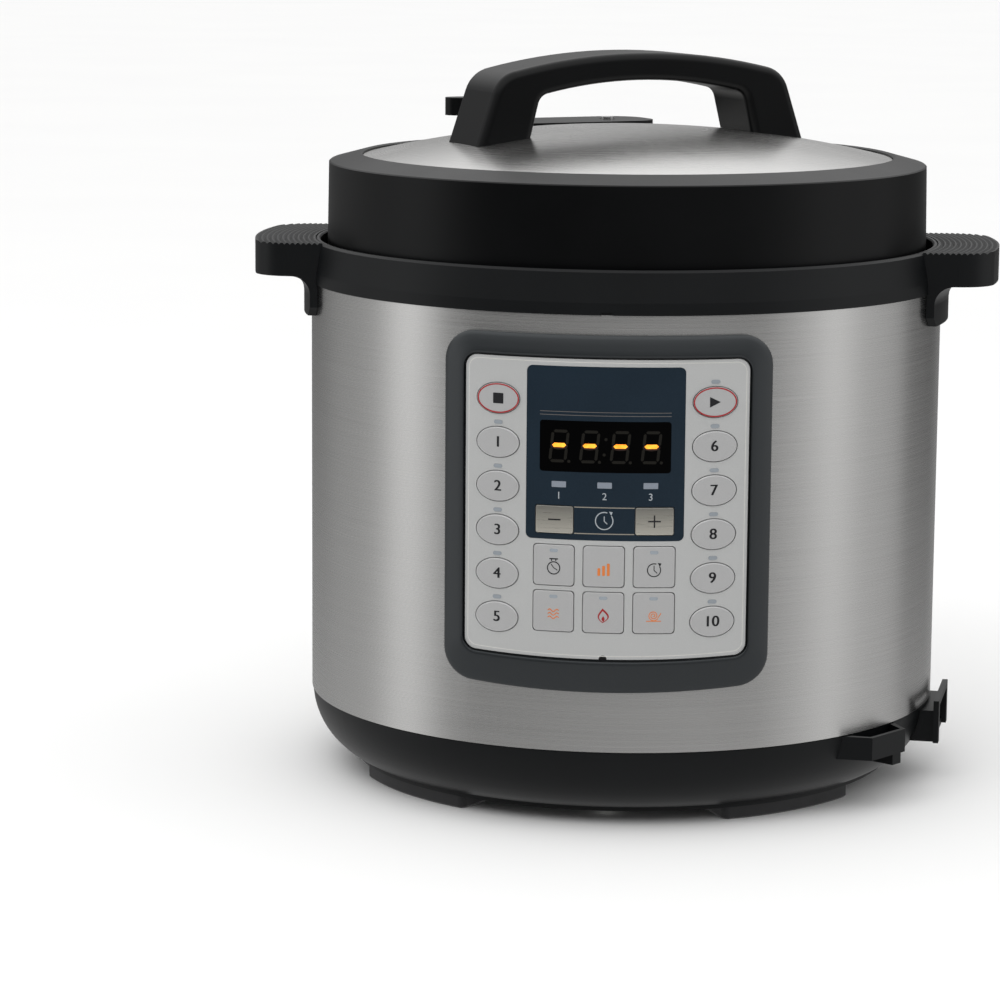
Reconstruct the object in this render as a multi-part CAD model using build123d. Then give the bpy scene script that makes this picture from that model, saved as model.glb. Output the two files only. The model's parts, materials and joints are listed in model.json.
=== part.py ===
from build123d import *
import math
import os

# Electric pressure cooker, millimetres. Origin: centre of the plane that the feet stand on,
# +Z up along the pot axis, control panel towards -Y, carrying handles towards -X and +X.

# Heights
BASE_Z = 5.5            # underside of the base bowl
SHELL_Z = 35.5          # lower edge of the steel shell
RING_Z = 219.0          # lower edge of the upper ring
RING_TOP_Z = 237.3      # top of the upper ring and of the handles
SKIRT_Z = 228.0         # lower edge of the lid skirt
SHOULDER_Z = 271.5      # upper edge of the lid skirt
PLATE_Z = 72.0          # top of the heating plate
VESSEL_FLOOR_Z = 58.0
SHELF_Z = 222.0         # top of the ring's inner shelf, which carries the vessel
FLANGE_Z = 233.0        # underside of the vessel's bayonet flange
FLANGE_T = 3.0

# Radii about the pot axis
SHELL_R = 140.0
SHELL_T = 0.8
RING_INNER_R = 136.0
SHELF_INNER_R = 115.2
VESSEL_R = 114.5
VESSEL_T = 1.5
FLANGE_R = 121.0
LUG_R = 127.0
POT_R = 110.5
POT_T = 0.8
POT_RIM_R = 117.5
PLATE_R = 92.0
SHIELD_R = 122.6
LID_RIM_R = 130.3       # outside of the pressure lid's rim, inside the skirt
SKIRT_R = 133.0
SKIRT_T = 2.2

GAP = 0.3               # clearance between pieces on different bodies
BAYONET_LUGS = 6
LUG_SPAN = 24.0         # degrees
LOCK_TURN = 30.0        # degrees from unlocked to locked
FOOT_COUNT = 4
FOOT_AT = 42.0          # azimuth of the first foot from +X
FOOT_SPAN = 34.6

# Control panel, seen square-on: x across, heights from SHELL_Z
FASCIA_BACK_R = 140.05
FASCIA_R = 142.0
BEZEL_R = 143.3
BEZEL_W = 136.0
BEZEL_LOW = 27.5
BEZEL_HIGH = 175.4
BEZEL_SAG = 1.8         # how far the lower edge bulges downwards
FASCIA_W = 117.4
FASCIA_LOW = 41.5
FASCIA_HIGH = 165.5
FASCIA_SAG = 1.4
FASCIA_GAP = 1.0        # groove between the fascia and the bezel
GROOVE_R = 140.8        # bottom of that groove
WINDOW_W = 65.4
WINDOW_LOW = 90.2
WINDOW_HIGH = 162.4
DISPLAY_W = 54.2
DISPLAY_LOW = 118.6
DISPLAY_HIGH = 139.9
WINDOW_BACK_R = 141.2
WINDOW_R = 142.1
LIP_BACK_R = 138.2      # flange that keeps a key in its hole
LIP_R = 139.6
KEY_BACK_R = 139.0
OVAL_FACE_R = 142.7
KEY_FACE_R = 142.4
TIME_KEY_FACE_R = 142.5
HOLE_BACK_R = 138.0     # every hole through the fascia is cut between these two radii
HOLE_FRONT_R = 144.0

# Circuit board behind the panel, switches and key stems, by their y
BOARD_Y = -124.0        # back of the board
BOARD_FACE_Y = -125.6
SWITCH_Y = -128.6
SWITCH_TIP_Y = -129.3
STEM_END_Y = -130.1     # 0.8 from the switch, for a travel of 0.5

OVAL_COLUMN_X = 44.8
OVAL_RX = 9.0
OVAL_RZ = 6.35
OVAL_TOP = 147.9
OVAL_PITCH = 18.4
KEY_COLUMN_X = 20.8
KEY_W = 16.9
KEY_H = 17.0
KEY_TOP = 79.3
KEY_PITCH = 19.4
TIME_KEY_X = 20.7
TIME_KEY_Z = 98.5
TIME_KEY_W = 15.6
TIME_KEY_H = 11.4

LEFT_OVALS = ("cancel", "rice", "multigrain", "soup", "stew", "poultry")
RIGHT_OVALS = ("start", "fish", "steam", "beans", "yogurt", "porridge")
TOP_KEYS = ("manual", "adjust", "delay")
BOTTOM_KEYS = ("keep_warm", "sear", "slow_cook")

# Lid fittings, placed as the lid lies when it is locked
VALVE_XY = (-27.0, 74.0)
FLOAT_XY = (27.0, 74.0)
LID_SCREW_R = 64.0
LID_SCREW_ANGLES = (30.0, 150.0, 270.0)

# Outside of the base bowl: a circular arc through these three places (radius, height)
BOWL_TOP = (139.5, SHELL_Z - 0.4)
BOWL_MIDDLE = (135.6, 20.5)
BOWL_EDGE = (122.3, 7.6)

# Pieces round the body: azimuth in degrees from +X
POCKET_AT = -36.5
BRACKET_AT = -6.5


def save(name, shape):
    """Writes one node. A node of several solids goes out as one compound."""
    export_step(shape, f"parts/{name}.step")


def cylinder(radius, low, high, x=0.0, y=0.0):
    """An upright round bar."""
    return Pos(x, y, low) * extrude(Circle(radius), high - low)


def tube(inner, outer, low, high, x=0.0, y=0.0):
    """An upright round wall."""
    return Pos(x, y, low) * extrude(Circle(outer) - Circle(inner), high - low)


def block(x0, x1, y0, y1, z0, z1):
    """A box given by its limits."""
    return Pos((x0 + x1) / 2, (y0 + y1) / 2, (z0 + z1) / 2) * Box(x1 - x0, y1 - y0, z1 - z0)


def turned(outline, angle=360.0):
    """Turns a closed outline of (radius, height) lines about the pot axis."""
    return revolve(Plane.XZ * make_face(outline), Axis.Z, angle)


def turned_points(*points):
    """Turns a straight-sided outline about the pot axis."""
    return turned(Polyline(*points, close=True))


def sector(inner, outer, low, high, middle, span):
    """A piece of a round wall, span degrees wide, centred middle degrees from +X."""
    face = Plane.XZ * Pos((inner + outer) / 2, (low + high) / 2) * Rectangle(outer - inner, high - low)
    return Rot(0, 0, middle - span / 2) * revolve(face, Axis.Z, span)


def side_by_side(shapes):
    """Groups separate solids as one node."""
    return Compound(children=list(shapes))


def front(sketch, back_r, face_r):
    """Pushes a panel outline, drawn x across and z up, into the curved front of the body."""
    plane = Plane(origin=(0, 0, 0), x_dir=(1, 0, 0), z_dir=(0, -1, 0))
    prism = extrude(plane * sketch, 160.0)
    return prism & tube(back_r, face_r, 0.0, RING_Z)


def panel_outline(width, low, high, sag, radius):
    """A rounded rectangle with a lower edge that bulges down by sag."""
    half = width / 2
    bottom = ThreePointArc((-half, SHELL_Z + low), (0, SHELL_Z + low - sag), (half, SHELL_Z + low))
    rest = Polyline((half, SHELL_Z + low), (half, SHELL_Z + high), (-half, SHELL_Z + high),
                    (-half, SHELL_Z + low))
    face = make_face(bottom + rest)
    return fillet(face.vertices(), radius)


def at_panel(x, height, sketch):
    """Moves a small outline to its place on the panel."""
    return Pos(x, SHELL_Z + height) * sketch


def oval_places():
    """The name, x and height of each oval button."""
    places = []
    for names, x in ((LEFT_OVALS, -OVAL_COLUMN_X), (RIGHT_OVALS, OVAL_COLUMN_X)):
        for row, name in enumerate(names):
            places.append((name, x, OVAL_TOP - row * OVAL_PITCH))
    return places


def key_places():
    """The name, x and height of each square key."""
    places = []
    for row, names in enumerate((TOP_KEYS, BOTTOM_KEYS)):
        for column, name in enumerate(names):
            places.append((name, (column - 1) * KEY_COLUMN_X, KEY_TOP - row * KEY_PITCH))
    return places


def time_key_places():
    """The name, x and height of the two keys below the display."""
    return [("minus", -TIME_KEY_X, TIME_KEY_Z), ("plus", TIME_KEY_X, TIME_KEY_Z)]


def oval(grow=0.0):
    return Ellipse(OVAL_RX + grow, OVAL_RZ + grow)


def key_square(grow=0.0, grow_up=None):
    up = grow if grow_up is None else grow_up
    return RectangleRounded(KEY_W + 2 * grow, KEY_H + 2 * up, 1.6)


def time_key_square(grow=0.0):
    return RectangleRounded(TIME_KEY_W + 2 * grow, TIME_KEY_H + 2 * grow, 0.8 + grow)


def button(x, height, outline, flange, face_r, edge):
    """A cap that shows in its hole, a flange that keeps it in, and a stem to its switch."""
    cap = front(at_panel(x, height, outline), KEY_BACK_R, face_r)
    outer_face = cap.faces().sort_by(Axis.Y)[0]
    cap = fillet(outer_face.edges(), edge)
    lip = front(at_panel(x, height, flange), LIP_BACK_R, LIP_R)
    stem = Plane.XZ * Pos(x, SHELL_Z + height) * Circle(2.4)
    depth = math.sqrt(KEY_BACK_R ** 2 - x ** 2)
    shaft = extrude(Pos(0, STEM_END_Y, 0) * stem, depth + STEM_END_Y)
    return cap + lip + shaft


def lamp_places():
    """The small signal lamps above the oval buttons; the stop button has none."""
    return [(x, height + 8.4) for name, x, height in oval_places() if name != "cancel"]


def lamp_outline():
    return SlotOverall(3.7, 1.6)


def outer_shell():
    """Brushed steel cylinder with the opening behind the panel."""
    wall = tube(SHELL_R - SHELL_T, SHELL_R, SHELL_Z, RING_Z)
    opening = Pos(0, SHELL_Z + 102.5) * RectangleRounded(114.0, 120.0, 3.0)
    return wall - front(opening, 130.0, 145.0)


def base_cover():
    """The bowl under the shell, thicker over the feet, with spigot, posts, vents and screw holes."""
    outside = ThreePointArc(BOWL_TOP, BOWL_MIDDLE, BOWL_EDGE)
    step = Polyline(BOWL_EDGE, (120.8, BOWL_EDGE[1]), (120.8, BASE_Z), (24.0, BASE_Z),
                    (24.0, BASE_Z + 2.5), (118.6, BASE_Z + 2.5))
    inside = ThreePointArc((118.6, BASE_Z + 2.5), (132.6, 21.4), (136.4, SHELL_Z - 0.4))
    spigot = Polyline((136.4, SHELL_Z - 0.4), (136.4, 42.0), (138.9, 42.0), (138.9, SHELL_Z - 0.4), BOWL_TOP)
    bowl = turned(outside + step + inside + spigot)
    bowl += tube(22.0, 24.0, BASE_Z, BASE_Z + 2.5) + cylinder(22.0, BASE_Z, BASE_Z + 2.5)
    for i in range(FOOT_COUNT):
        bowl += sector(98.0, 120.0, BASE_Z, 11.0, FOOT_AT + 90.0 * i, FOOT_SPAN)
    for angle in (-30.0, 90.0, 210.0):
        at = Rot(0, 0, angle)
        bowl += at * cylinder(5.0, BASE_Z + 1.0, PLATE_Z - 10.0, 80.0, 0.0)
    for i in range(FOOT_COUNT):
        at = Rot(0, 0, 90.0 * i)
        bowl -= at * cylinder(2.2, BASE_Z - 1.0, BASE_Z + 4.0, 102.0, 0.0)
        bowl -= at * cylinder(4.2, BASE_Z - 1.0, BASE_Z + 1.2, 102.0, 0.0)
    for row in range(5):
        for side in (-1, 1):
            bowl -= block(side * 40.0 - 16.0, side * 40.0 + 16.0, row * 9.0 - 20.0, row * 9.0 - 16.5,
                          BASE_Z - 1.0, BASE_Z + 4.0)
    return bowl


def rubber_feet():
    """Four curved pads under the bowl."""
    pads = []
    for i in range(FOOT_COUNT):
        pad = sector(98.5, 120.6, 0.0, BASE_Z, FOOT_AT + 90.0 * i, FOOT_SPAN)
        pad = fillet(pad.edges().filter_by(Axis.Z), 3.0)
        lower = pad.faces().sort_by(Axis.Z)[0]
        pads.append(chamfer(lower.edges(), 0.8))
    return side_by_side(pads)


def base_screws():
    """Four screws that hold the base cover to the frame inside."""
    screws = []
    for i in range(FOOT_COUNT):
        head = cylinder(3.8, BASE_Z - 0.4, BASE_Z + 1.2, 102.0, 0.0)
        head -= Pos(102.0, 0.0, BASE_Z - 0.4) * Box(3.6, 0.9, 1.6)
        head -= Pos(102.0, 0.0, BASE_Z - 0.4) * Box(0.9, 3.6, 1.6)
        shank = cylinder(2.0, BASE_Z + 1.2, 22.0, 102.0, 0.0)
        screws.append(Rot(0, 0, 90.0 * i) * (head + shank))
    return side_by_side(screws)


def handle():
    """The carrying handle at +X with its lug down the shell and concentric grip ribs on top."""
    under = RING_TOP_Z - 14.7
    half = 46.0
    throat = ThreePointArc((151.4, under), (145.75, under - 2.35), (143.4, under - 8.0))
    rim = Polyline((143.4, under - 8.0), (143.4, 205.0), (140.1, 205.0), (140.1, RING_Z), (138.3, RING_Z),
                   (138.3, RING_TOP_Z), (165.0, RING_TOP_Z), (165.0, under), (151.4, under))
    grip = Rot(0, 0, -45) * turned(throat + rim, 90.0)
    grip &= block(120.0, 175.0, -half, half, 200.0, 240.0)
    tip_corners = grip.edges().filter_by(Axis.Z).group_by(Axis.X)[-1]
    grip = fillet(tip_corners, 16.0)
    lug_corners = grip.edges().group_by(Axis.Z)[0].filter_by(GeomType.LINE)
    grip = chamfer(lug_corners, 4.0)
    for i in range(11):
        r = 140.2 + 2.3 * i
        top = RING_TOP_Z
        grip -= turned_points((r - 1.0, top + 0.1), (r, top - 0.8), (r + 1.0, top + 0.1))
    return grip


def upper_ring():
    """One moulding: the ring round the lid, its inner shelf, its spigot and the two handles."""
    wall = Polyline((140.9, RING_Z), (140.6, 224.0), (138.6, 236.3), (137.6, RING_TOP_Z), (136.6, RING_TOP_Z),
                    (RING_INNER_R, RING_TOP_Z - 0.6), (RING_INNER_R, SHELF_Z), (SHELF_INNER_R, SHELF_Z),
                    (SHELF_INNER_R, RING_Z), (134.0, RING_Z), (134.0, 207.0), (138.9, 207.0), (138.9, RING_Z),
                    close=True)
    ring = turned(wall)
    ring += handle()
    ring += Rot(0, 0, 180) * handle()
    return ring - block(-2.3, 2.3, -142.0, -139.9, RING_Z - 1.0, RING_Z + 1.2)


def fascia_outline(grow, radius):
    """The fascia's outline, grown by grow on every side."""
    return panel_outline(FASCIA_W + 2 * grow, FASCIA_LOW - grow, FASCIA_HIGH + grow, FASCIA_SAG, radius)


def panel_bezel():
    """Dark frame that stands proud round the fascia, with a ledge that closes the groove."""
    outer = panel_outline(BEZEL_W, BEZEL_LOW, BEZEL_HIGH, BEZEL_SAG, 13.0)
    inner = fascia_outline(FASCIA_GAP, 6.0)
    frame = front(outer - inner, FASCIA_BACK_R, BEZEL_R)
    face = frame.faces().sort_by(Axis.Y)[0]
    frame = fillet(face.outer_wire().edges(), 2.2)
    face = frame.faces().sort_by(Axis.Y)[0]
    frame = chamfer(face.inner_wires()[0].edges(), 0.5)
    ledge = fascia_outline(FASCIA_GAP + 1.0, 7.0) - fascia_outline(0.1, 5.1)
    return frame + front(ledge, FASCIA_BACK_R, GROOVE_R)


def panel_fascia():
    """Silver panel with the holes for keys, lamps and display, and posts for the board."""
    outline = fascia_outline(0.0, 5.0) - Pos(0, SHELL_Z + FASCIA_LOW - FASCIA_SAG) * Circle(1.7)
    panel = front(outline, FASCIA_BACK_R, FASCIA_R)
    window = at_panel(0, (WINDOW_LOW + WINDOW_HIGH) / 2, window_outline(0.05))
    panel -= front(window, WINDOW_BACK_R - 0.1, HOLE_FRONT_R)
    aperture = Rectangle(DISPLAY_W, DISPLAY_HIGH - DISPLAY_LOW)
    panel -= front(at_panel(0, (DISPLAY_LOW + DISPLAY_HIGH) / 2, aperture), HOLE_BACK_R, HOLE_FRONT_R)
    for name, x, height in oval_places():
        panel -= front(at_panel(x, height, oval(GAP)), HOLE_BACK_R, HOLE_FRONT_R)
    for name, x, height in key_places():
        panel -= front(at_panel(x, height, key_square(GAP)), HOLE_BACK_R, HOLE_FRONT_R)
    for name, x, height in time_key_places():
        panel -= front(at_panel(x, height, time_key_square(GAP)), HOLE_BACK_R, HOLE_FRONT_R)
    for x, height in lamp_places():
        panel -= front(at_panel(x, height, lamp_outline()), HOLE_BACK_R, HOLE_FRONT_R)
    for x in (-52.0, 52.0):
        for z in (81.0, 193.5):
            post = Plane.XZ * Pos(x, z) * Circle(2.0)
            panel += extrude(Pos(0, BOARD_FACE_Y, 0) * post, 5.0)
    return panel


def window_outline(grow=0.0):
    return RectangleRounded(WINDOW_W + 2 * grow, WINDOW_HIGH - WINDOW_LOW + 2 * grow, 2.4)


def display_window():
    """Tinted lens over the display, with openings for the two time keys."""
    lens = front(at_panel(0, (WINDOW_LOW + WINDOW_HIGH) / 2, window_outline()), WINDOW_BACK_R, WINDOW_R)
    for name, x, height in time_key_places():
        lens -= front(at_panel(x, height, time_key_square(GAP)), HOLE_BACK_R, HOLE_FRONT_R)
    return lens


def signal_lamps():
    """Small light guides set into the fascia."""
    lamps = [front(at_panel(x, height, lamp_outline()), LIP_R, 142.2) for x, height in lamp_places()]
    return side_by_side(lamps)


def led_display():
    """Four-digit display module on its pins."""
    low = SHELL_Z + (DISPLAY_LOW + DISPLAY_HIGH) / 2 - 9.5
    module = block(-25.1, 25.1, -138.0, -130.0, low, low + 19.0)
    for side in (-1, 1):
        middle = low + 9.5 + side * 7.6
        module += block(-14.0, 14.0, -130.0, BOARD_FACE_Y, middle - 0.4, middle + 0.4)
    return module


def control_board():
    """Circuit board behind the panel with one push switch for each key."""
    board = block(-56.0, 56.0, BOARD_FACE_Y, BOARD_Y, 79.0, 198.0)
    for name, x, height in oval_places() + key_places() + time_key_places():
        z = SHELL_Z + height
        board += block(x - 3.0, x + 3.0, SWITCH_Y, BOARD_FACE_Y, z - 3.0, z + 3.0)
        tip = Plane.XZ * Pos(x, z) * Circle(1.7)
        board += extrude(Pos(0, SWITCH_Y, 0) * tip, SWITCH_Y - SWITCH_TIP_Y)
    return board


def pressure_vessel():
    """Fixed outer pot with its bayonet flange, carried by the upper ring."""
    inner = VESSEL_R - VESSEL_T
    top = FLANGE_Z + FLANGE_T
    vessel = turned_points((97.0, VESSEL_FLOOR_Z), (VESSEL_R, VESSEL_FLOOR_Z), (VESSEL_R, SHELF_Z),
                           (118.0, SHELF_Z), (118.0, SHELF_Z + 2.0), (VESSEL_R, SHELF_Z + 2.0),
                           (VESSEL_R, FLANGE_Z), (FLANGE_R, FLANGE_Z), (FLANGE_R, top), (inner, top),
                           (inner, VESSEL_FLOOR_Z + VESSEL_T), (97.0, VESSEL_FLOOR_Z + VESSEL_T))
    for i in range(BAYONET_LUGS):
        vessel += sector(FLANGE_R - 0.5, LUG_R, FLANGE_Z, top, 360.0 / BAYONET_LUGS * i, LUG_SPAN)
    return vessel


def heat_shield():
    """Sheet-metal sleeve between the vessel and the outer shell."""
    return tube(SHIELD_R - 0.6, SHIELD_R, 62.0, RING_Z)


def heating_plate():
    """Cast plate under the pot, with the hole for the sensor."""
    plate = tube(15.0, PLATE_R, PLATE_Z - 10.0, PLATE_Z)
    return chamfer(plate.edges().filter_by(GeomType.CIRCLE).group_by(SortBy.RADIUS)[-1], 1.5)


def heating_element():
    """Ring heater under the plate with its two terminals."""
    top = PLATE_Z - 10.0
    ring = tube(61.5, 70.5, top - 8.0, top)
    ring = fillet(ring.edges().group_by(Axis.Z)[0], 3.0)
    for x in (-10.0, 10.0):
        ring += cylinder(2.2, 43.0, top - 8.0, x, -65.2)
    return ring


def sensor_bracket():
    """Steel strap under the plate that the sensor's spring stands on."""
    strap = block(-34.0, 34.0, -10.0, 10.0, 40.0, 41.5)
    for x in (-34.0, 32.5):
        strap += block(x, x + 1.5, -10.0, 10.0, 41.5, PLATE_Z - 10.0)
    return strap


def temperature_sensor():
    """Sprung plunger that the pot's floor presses on."""
    cap = cylinder(14.0, PLATE_Z - 2.3, PLATE_Z - GAP)
    cap = fillet(cap.edges().group_by(Axis.Z)[-1], 0.8)
    return cap + cylinder(10.0, 56.0, PLATE_Z - 2.3)


def sensor_spring():
    """Coil spring under the sensor."""
    wire = 0.7
    path = Pos(0, 0, 41.5 + wire + 0.1) * Helix(pitch=3.1, height=12.4, radius=7.5)
    section = Plane(origin=path @ 0, z_dir=path % 0) * Circle(wire)
    return sweep(section, path=path, is_frenet=True)


def pressure_switch():
    """Switch on the base that opens when the plate is pushed down too far."""
    body = block(30.0, 52.0, -30.0, -16.0, BASE_Z + 2.5, 26.0)
    return body + cylinder(3.0, 26.0, 29.5, 41.0, -23.0)


def thermal_fuse():
    """One-shot fuse clamped under the heating plate."""
    bar = Pos(-44.0, -20.0, PLATE_Z - 12.3) * Rot(0, 90, 0) * Cylinder(2.2, 16.0)
    strap = block(-46.0, -42.0, -25.0, -15.0, PLATE_Z - 11.0, PLATE_Z - 10.0)
    return bar + strap


def power_board():
    """Mains board in the base: transformer, relay, capacitors, heat sink and terminals."""
    top = 21.6
    board = block(-80.0, -8.0, 2.0, 58.0, 20.0, top)
    for x in (-76.0, -12.0):
        for y in (6.0, 54.0):
            board += cylinder(3.0, BASE_Z + 2.5, 20.0, x, y)
    board += block(-78.0, -52.0, 32.0, 50.0, top, 44.0)
    board += block(-46.0, -27.0, 38.0, 53.0, top, 37.0)
    board += block(-76.0, -52.0, 12.0, 15.0, top, 42.0)
    board += block(-20.0, -12.0, 14.0, 38.0, top, 31.0)
    for x, y in ((-32.0, 26.0), (-44.0, 20.0)):
        board += cylinder(5.0, top, 38.0, x, y)
    return board


def bowl_envelope():
    """The solid outside form of the bowl and shell, for fitting pieces against it."""
    side = ThreePointArc(BOWL_TOP, BOWL_MIDDLE, BOWL_EDGE)
    rest = Polyline(BOWL_EDGE, (0, BOWL_EDGE[1]), (0, 60.0), (SHELL_R, 60.0), (SHELL_R, BOWL_TOP[1]), BOWL_TOP)
    return turned(side + rest)


def side_pocket():
    """Open-topped pocket with a faceted wall on the right front of the base, and its small tab."""
    low = 25.0
    high = 35.0
    outside = make_face(Polyline((134.0, -21.0), (149.5, -12.0), (149.5, 12.0), (134.0, 21.0), close=True))
    hollow = make_face(Polyline((132.0, -18.6), (147.6, -10.8), (147.6, 10.8), (132.0, 18.6), close=True))
    pocket = Pos(0, 0, low) * extrude(outside, high - low)
    pocket -= Pos(0, 0, low + 1.6) * extrude(hollow, high - low)
    pocket += block(130.0, 146.0, 8.0, 14.0, 19.0, low)
    pocket -= bowl_envelope()
    largest = pocket.solids().sort_by(SortBy.VOLUME)[-1]
    return Rot(0, 0, POCKET_AT) * largest


def accessory_bracket():
    """Box with an outward rim on the right of the base, open outwards and below."""
    box = block(126.0, 144.5, -20.5, 20.5, 19.5, 33.5)
    rim = block(144.0, 146.4, -23.2, 23.2, 19.5, 38.5)
    rim -= block(143.0, 147.0, -18.0, 18.0, 18.0, 35.8)
    box += rim
    box -= block(133.0, 147.0, -16.5, 16.5, 22.0, 31.2)
    box -= bowl_envelope()
    largest = box.solids().sort_by(SortBy.VOLUME)[-1]
    return Rot(0, 0, BRACKET_AT) * largest


def inlet_block(grow=0.0):
    return block(-16.0 - grow, 16.0 + grow, 114.0, 141.0, 9.5 - grow, 32.5 + grow)


def power_inlet():
    """Three-pin mains inlet at the back of the base."""
    inlet = inlet_block() - block(-12.3, 12.3, 121.0, 142.0, 12.8, 29.2)
    for x, z in ((-7.0, 18.4), (7.0, 18.4), (0.0, 23.6)):
        inlet += block(x - 1.0, x + 1.0, 120.0, 136.0, z - 2.0, z + 2.0)
    return inlet


def inner_pot():
    """Removable steel pot with an out-turned rim."""
    floor = PLATE_Z + GAP
    top = FLANGE_Z + FLANGE_T + 1.5
    r = POT_R
    t = POT_T
    c = 9.0
    s = c * (1 - math.sqrt(0.5))
    outer = ThreePointArc((r - c, floor), (r - s, floor + s), (r, floor + c))
    wall = Polyline((r, floor + c), (r, top - 1.2), (POT_RIM_R, top - 1.2), (POT_RIM_R, top), (r - t, top),
                    (r - t, floor + c))
    inner = ThreePointArc((r - t, floor + c), (r - s - t * 0.6, floor + s + t * 0.6), (r - c, floor + t))
    bottom = Polyline((r - c, floor + t), (0, floor + t), (0, floor), (r - c, floor))
    return turned(outer + wall + inner + bottom)


def collector_bracket():
    """Plate on the back of the shell with two arms that the collector's ribs ride on."""
    plate = block(-34.8, 34.8, 120.0, 146.0, 164.0, 182.0) - cylinder(SHELL_R + 0.1, 160.0, 190.0)
    for x in (-34.8, 32.4):
        plate += block(x, x + 2.4, 138.0, 162.0, 170.0, 176.0) - cylinder(SHELL_R + 0.1, 160.0, 190.0)
    return plate


def condensation_collector():
    """Small open cup that slides off the bracket."""
    cup = block(-32.0, 32.0, 146.4, 171.0, 150.0, 190.0)
    cup = fillet(cup.edges().filter_by(Axis.Z).group_by(Axis.Y)[-1], 8.0)
    hollow = block(-30.2, 30.2, 148.2, 169.2, 151.8, 191.0)
    cup -= fillet(hollow.edges().filter_by(Axis.Z).group_by(Axis.Y)[-1], 6.2)
    for x in (-34.4, 32.0):
        cup += block(x, x + 2.4, 146.4, 161.0, 176.3, 178.0)
    return cup


def lid_dome(top_shift=0.0):
    """Outline of the lid's steel cap, seen from the side."""
    return ThreePointArc((117.2, 273.6 + top_shift), (60.0, 283.7 + top_shift), (0, 287.0 + top_shift))


def dome_height(r):
    """Height of the pressure lid's upper side at radius r."""
    return 259.8 - 11.7 * (r / 104.0) ** 2


def pressure_lid():
    """Pressed steel lid with its bayonet rim."""
    top = ThreePointArc((0, 259.8), (52.0, dome_height(52.0)), (104.0, 248.1))
    rim = Polyline((104.0, 248.1), (LID_RIM_R, 248.1), (LID_RIM_R, 230.5), (128.4, 230.5), (128.4, 246.3),
                   (104.0, 246.3))
    under = ThreePointArc((104.0, 246.3), (52.0, dome_height(52.0) - 1.8), (0, 258.0))
    lid = turned(top + rim + under + Line((0, 258.0), (0, 259.8)))
    for i in range(BAYONET_LUGS):
        lid += sector(122.0, 128.9, 230.5, FLANGE_Z - GAP, 360.0 / BAYONET_LUGS * i, LUG_SPAN)
    lid -= cylinder(3.6, 240.0, 265.0, *VALVE_XY)
    lid -= cylinder(3.3, 240.0, 265.0, *FLOAT_XY)
    for angle in LID_SCREW_ANGLES:
        lid -= Rot(0, 0, angle) * cylinder(2.2, 240.0, 265.0, LID_SCREW_R, 0.0)
    return lid


def deck(grow, low, high):
    """The raised island at the back of the lid that holds both valves."""
    outline = RectangleRounded(94.0 + 2 * grow, 36.0 + 2 * grow, 14.0)
    return Pos(0, VALVE_XY[1], low) * extrude(outline, high - low)


def lid_cover():
    """Moulded lid: skirt, sloping shoulder, floor under the steel cap, valve deck and bosses."""
    lid = turned_points((SKIRT_R - SKIRT_T, SKIRT_Z), (SKIRT_R, SKIRT_Z), (132.3, SHOULDER_Z - 0.5),
                        (131.7, SHOULDER_Z), (118.6, 275.0), (117.5, 274.4), (117.5, 272.2), (0, 272.2),
                        (0, 270.0), (129.0, 269.0), (130.4, 266.0))
    lid += deck(0.0, 272.0, 285.0)
    lid -= deck(-2.0, 269.0, 283.0)
    for x, y in (VALVE_XY, FLOAT_XY):
        lid += cylinder(6.0, 270.0, 284.0, x, y)
        lid -= cylinder(3.6, 265.0, 290.0, x, y)
    for angle in LID_SCREW_ANGLES:
        lid += Rot(0, 0, angle) * cylinder(5.0, 256.4, 271.0, LID_SCREW_R, 0.0)
        lid -= Rot(0, 0, angle) * cylinder(2.0, 250.0, 268.0, LID_SCREW_R, 0.0)
    return lid


def lid_cap():
    """Brushed steel dome let into the lid."""
    sides = Polyline((0, 286.2), (0, 287.0))
    foot = Polyline((117.2, 273.6), (117.2, 272.3), (116.4, 272.3), (116.4, 273.0))
    under = ThreePointArc((116.4, 273.0), (60.0, 282.8), (0, 286.2))
    cap = turned(lid_dome() + foot + under + sides)
    return cap - deck(0.15, 265.0, 290.0)


def lid_handle():
    """Arched bar handle standing on the steel cap."""
    outer = ThreePointArc((-70.0, 311.0), (0, 320.0), (70.0, 311.0))
    inner = ThreePointArc((-50.0, 302.0), (0, 308.0), (50.0, 302.0))
    foot = Polyline((70.0, 311.0), (84.0, 270.0), (58.0, 270.0), (50.0, 302.0))
    other = Polyline((-70.0, 311.0), (-84.0, 270.0), (-58.0, 270.0), (-50.0, 302.0))
    side = make_face(outer + foot + inner + other)
    corners = side.vertices().group_by(Axis.Y)
    side = fillet(corners[-1], 14.0)
    inner_corners = side.vertices().filter_by_position(Axis.Y, 301.0, 303.0)
    side = fillet(inner_corners, 6.0)
    bar = extrude(Plane.XZ * side, 17.0, both=True)
    flanks = bar.faces().filter_by(Axis.Y)
    bar = fillet(flanks.edges().filter_by_position(Axis.Z, 290.0, 330.0), 3.5)
    under = lid_dome(0.05) + Polyline((0, 287.05), (0, 260.0), (117.2, 260.0), (117.2, 273.65))
    return bar - turned(under)


def gasket_rack():
    """Wire rack under the lid that keeps the sealing ring in place."""
    return tube(108.6, 110.6, 240.0, 246.3)


def sealing_ring():
    """Silicone ring between the lid and the pot's rim."""
    low = FLANGE_Z + FLANGE_T + 1.5 + GAP
    return turned_points((111.0, low), (119.0, low), (119.0, 246.0), (116.2, 246.0), (116.2, 241.0),
                         (113.8, 241.0), (113.8, 246.0), (111.0, 246.0))


def valve_pipe():
    """Steam outlet pipe with its nut under the lid."""
    pipe = tube(1.2, 3.5, 246.0, 292.0, *VALVE_XY)
    nut = Pos(VALVE_XY[0], VALVE_XY[1], 246.4) * extrude(RegularPolygon(6.0, 6) - Circle(3.5), 3.4)
    return pipe + nut


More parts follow.
